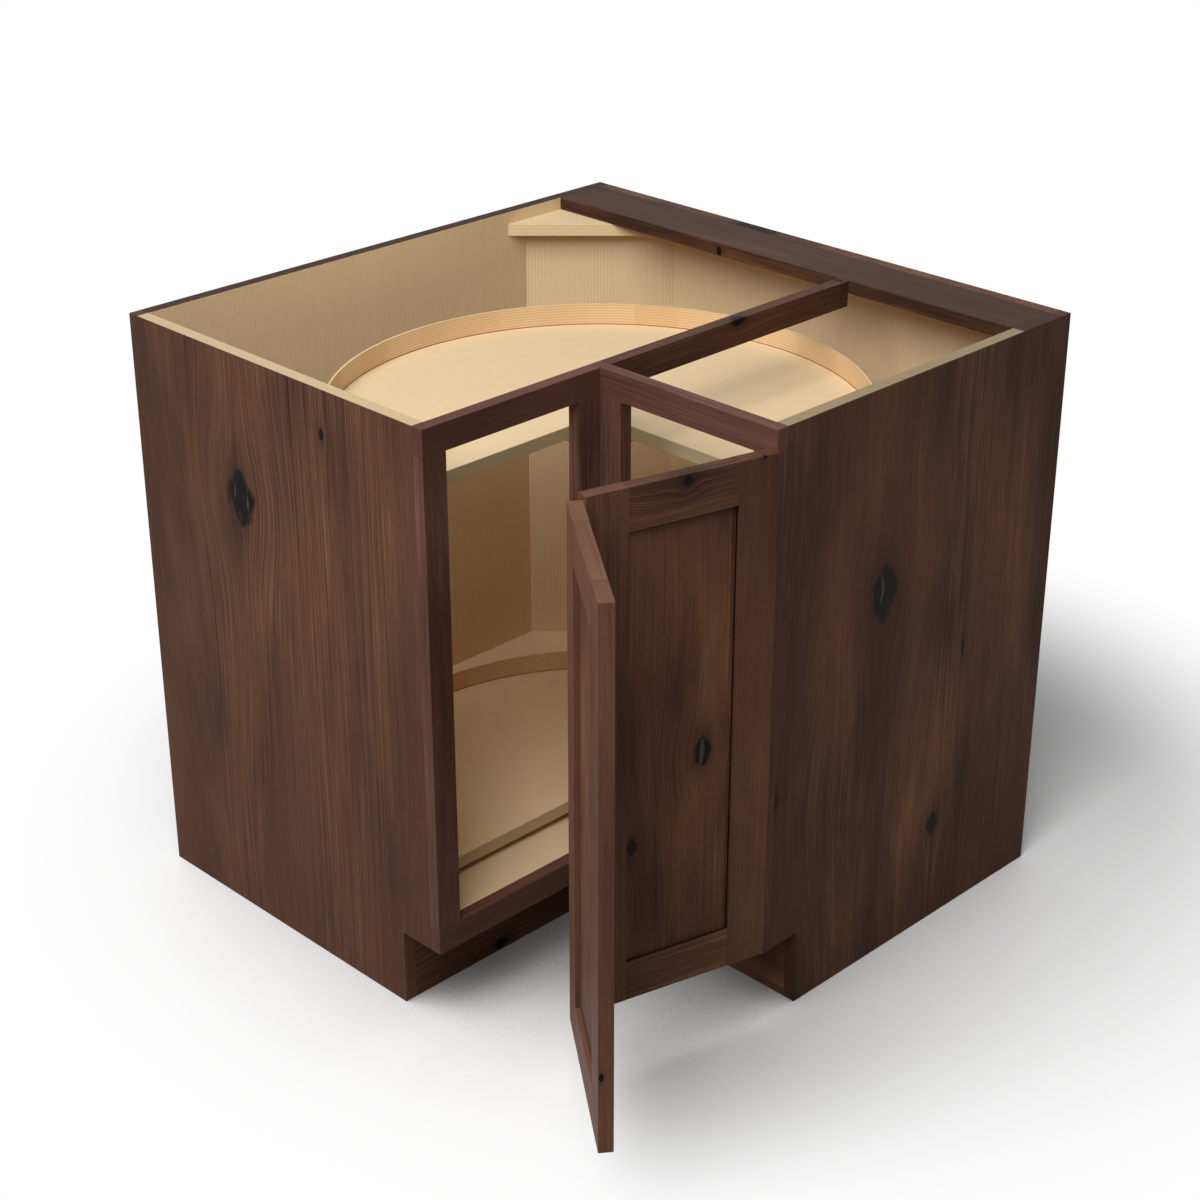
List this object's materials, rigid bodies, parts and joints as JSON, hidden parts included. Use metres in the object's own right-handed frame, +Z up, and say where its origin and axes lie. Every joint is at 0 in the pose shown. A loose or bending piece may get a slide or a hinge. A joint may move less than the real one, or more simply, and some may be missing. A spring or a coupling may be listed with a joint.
{
  "type": "corner carousel cabinet",
  "caption": "Corner base cabinet with an L-shaped plan, open top, framed front, a bi-fold panelled door and pie-cut round trays that turn on a pole.",
  "frame": {"origin": "outer back corner of the cabinet at the floor, where the two walls meet", "axes": "+X along the right wall away from the corner, -Y along the left wall away from the corner, +Z up"},
  "size_m": [1.0764, 1.0683, 0.8763],
  "materials": {
    "walnut_case": "rustic walnut, satin lacquer, dark knots",
    "walnut_face_frame": "solid walnut, satin lacquer",
    "walnut_door_frame": "solid walnut, satin lacquer",
    "walnut_door_panel": "walnut panel, satin lacquer, dark knots",
    "maple_ply": "clear lacquered maple plywood",
    "steel": "zinc plated",
    "nylon": "natural nylon"
  },
  "bodies": {
    "carcass": {"end_panel_left": "walnut_case", "end_panel_right": "walnut_case", "back_panel_left": "walnut_case", "back_panel_right": "walnut_case", "diagonal_back": "maple_ply", "corner_block": "maple_ply", "top_stretcher": "walnut_case", "center_brace": "walnut_case", "cabinet_floor": "maple_ply", "toe_board_left": "walnut_case", "toe_board_right": "walnut_case", "frame_left_top_rail": "walnut_face_frame", "frame_left_bottom_rail": "walnut_face_frame", "frame_left_outer_stile": "walnut_face_frame", "frame_left_inner_stile": "walnut_face_frame", "frame_right_top_rail": "walnut_face_frame", "frame_right_bottom_rail": "walnut_face_frame", "frame_right_outer_stile": "walnut_face_frame", "frame_right_inner_stile": "walnut_face_frame", "pole": "steel", "floor_flange": "steel", "floor_flange_screws": "steel", "top_bracket": "steel", "top_bracket_screws": "steel", "collar": "steel", "collar_set_screw": "steel", "thrust_washers": "nylon", "main_hinge_frame_plates": "steel", "main_hinge_pins": "steel", "main_hinge_frame_screws": "steel"},
    "door_leaf_1": {"leaf_1_hinge_stile": "walnut_door_frame", "leaf_1_fold_stile": "walnut_door_frame", "leaf_1_top_rail": "walnut_door_frame", "leaf_1_bottom_rail": "walnut_door_frame", "leaf_1_panel": "walnut_door_panel", "main_hinge_door_plates": "steel", "main_hinge_door_screws": "steel", "fold_hinge_plates_1": "steel", "fold_hinge_pins": "steel", "fold_hinge_screws_1": "steel"},
    "door_leaf_2": {"leaf_2_fold_stile": "walnut_door_frame", "leaf_2_free_stile": "walnut_door_frame", "leaf_2_top_rail": "walnut_door_frame", "leaf_2_bottom_rail": "walnut_door_frame", "leaf_2_panel": "walnut_door_panel", "fold_hinge_plates_2": "steel", "fold_hinge_screws_2": "steel"},
    "upper_tray": {"upper_tray_board": "maple_ply", "upper_tray_rim": "maple_ply", "upper_tray_hub": "steel", "upper_hub_screws": "steel"},
    "lower_tray": {"lower_tray_board": "maple_ply", "lower_tray_rim": "maple_ply", "lower_tray_hub": "steel", "lower_hub_screws": "steel"}
  },
  "joints": [
    {"name": "door_swing", "type": "hinge", "parent": "carcass", "child": "door_leaf_1", "pos_m": [0.91105, -0.6128, 0.492], "axis": [0, 0, 1], "range_deg": [-75, 30]},
    {"name": "door_fold", "type": "hinge", "parent": "door_leaf_1", "child": "door_leaf_2", "pos_m": [0.86099, -0.88523, 0.492], "axis": [0, 0, 1], "range_deg": [-9, 22.4]},
    {"name": "upper_tray_turn", "type": "hinge", "parent": "carcass", "child": "upper_tray", "pos_m": [0.504, -0.504, 0.74], "axis": [0, 0, 1], "range_deg": [-15, 15]},
    {"name": "lower_tray_turn", "type": "hinge", "parent": "carcass", "child": "lower_tray", "pos_m": [0.504, -0.504, 0.155], "axis": [0, 0, 1], "range_deg": [-13, 13]}
  ],
  "couplings": [
    {"joint": "door_fold", "follows": "door_swing", "ratio": -0.29733}
  ]
}
